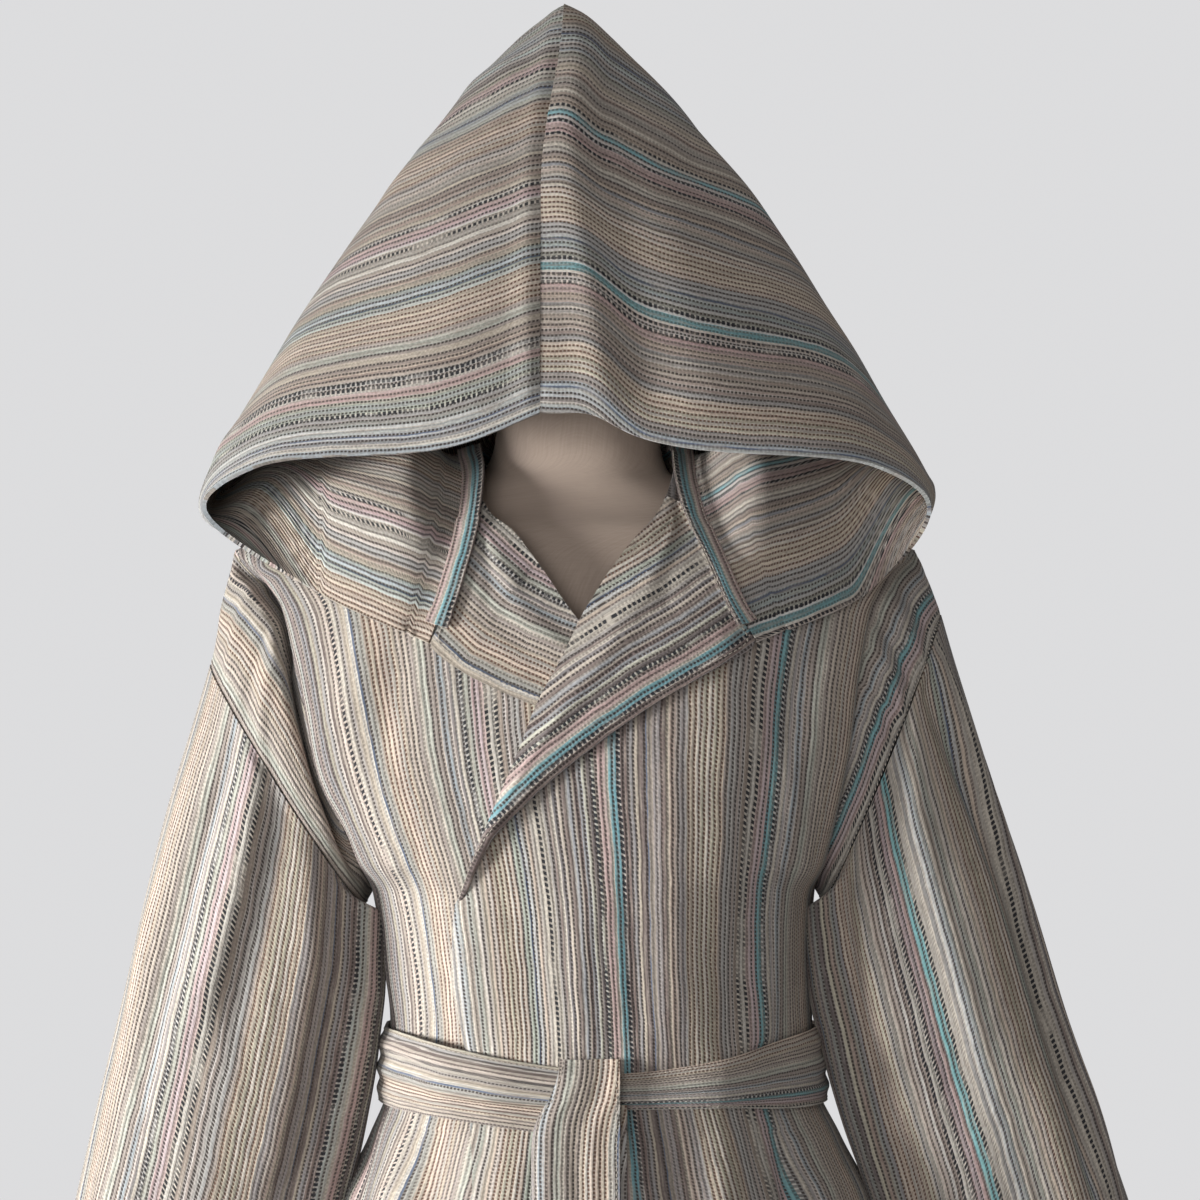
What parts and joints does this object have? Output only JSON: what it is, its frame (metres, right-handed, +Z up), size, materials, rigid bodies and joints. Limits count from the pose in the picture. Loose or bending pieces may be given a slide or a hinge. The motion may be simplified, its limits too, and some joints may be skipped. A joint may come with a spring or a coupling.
{
  "type": "hooded bathrobe on a dress form",
  "caption": "Hooded woven-cotton bathrobe with turned-out lapels, wide dropped sleeves and a tied belt, worn by a limbless linen dress form on a pole and a round foot.",
  "frame": {"origin": "centre of the round foot's underside, on the floor", "axes": "+Z up along the pole; the robe faces -Y, so the wearer's left is +X"},
  "size_m": [0.884, 0.3808, 1.9071],
  "materials": {
    "striped_cotton": "woven striped cotton with openwork bands, matte",
    "striped_tape": "narrow woven strip of the same cloth, matte",
    "striped_belt": "folded strip of the same cloth, matte",
    "linen": "plain beige linen, matte",
    "turned_wood": "oiled beech",
    "stand_metal": "brushed steel"
  },
  "bodies": {
    "root": {"back_panel": "striped_cotton", "front_left": "striped_cotton", "front_right": "striped_cotton", "lapel_left": "striped_cotton", "lapel_right": "striped_cotton", "armhole_band_left": "striped_cotton", "armhole_band_right": "striped_cotton", "sleeve_left": "striped_cotton", "sleeve_right": "striped_cotton", "hood_left": "striped_cotton", "hood_right": "striped_cotton", "neck_tape": "striped_tape", "belt_wrap": "striped_belt", "belt_tail_over": "striped_belt", "belt_tail_under": "striped_belt", "form_torso": "linen", "form_cap": "turned_wood", "stand_pole": "stand_metal", "stand_foot": "stand_metal"}
  },
  "joints": []
}
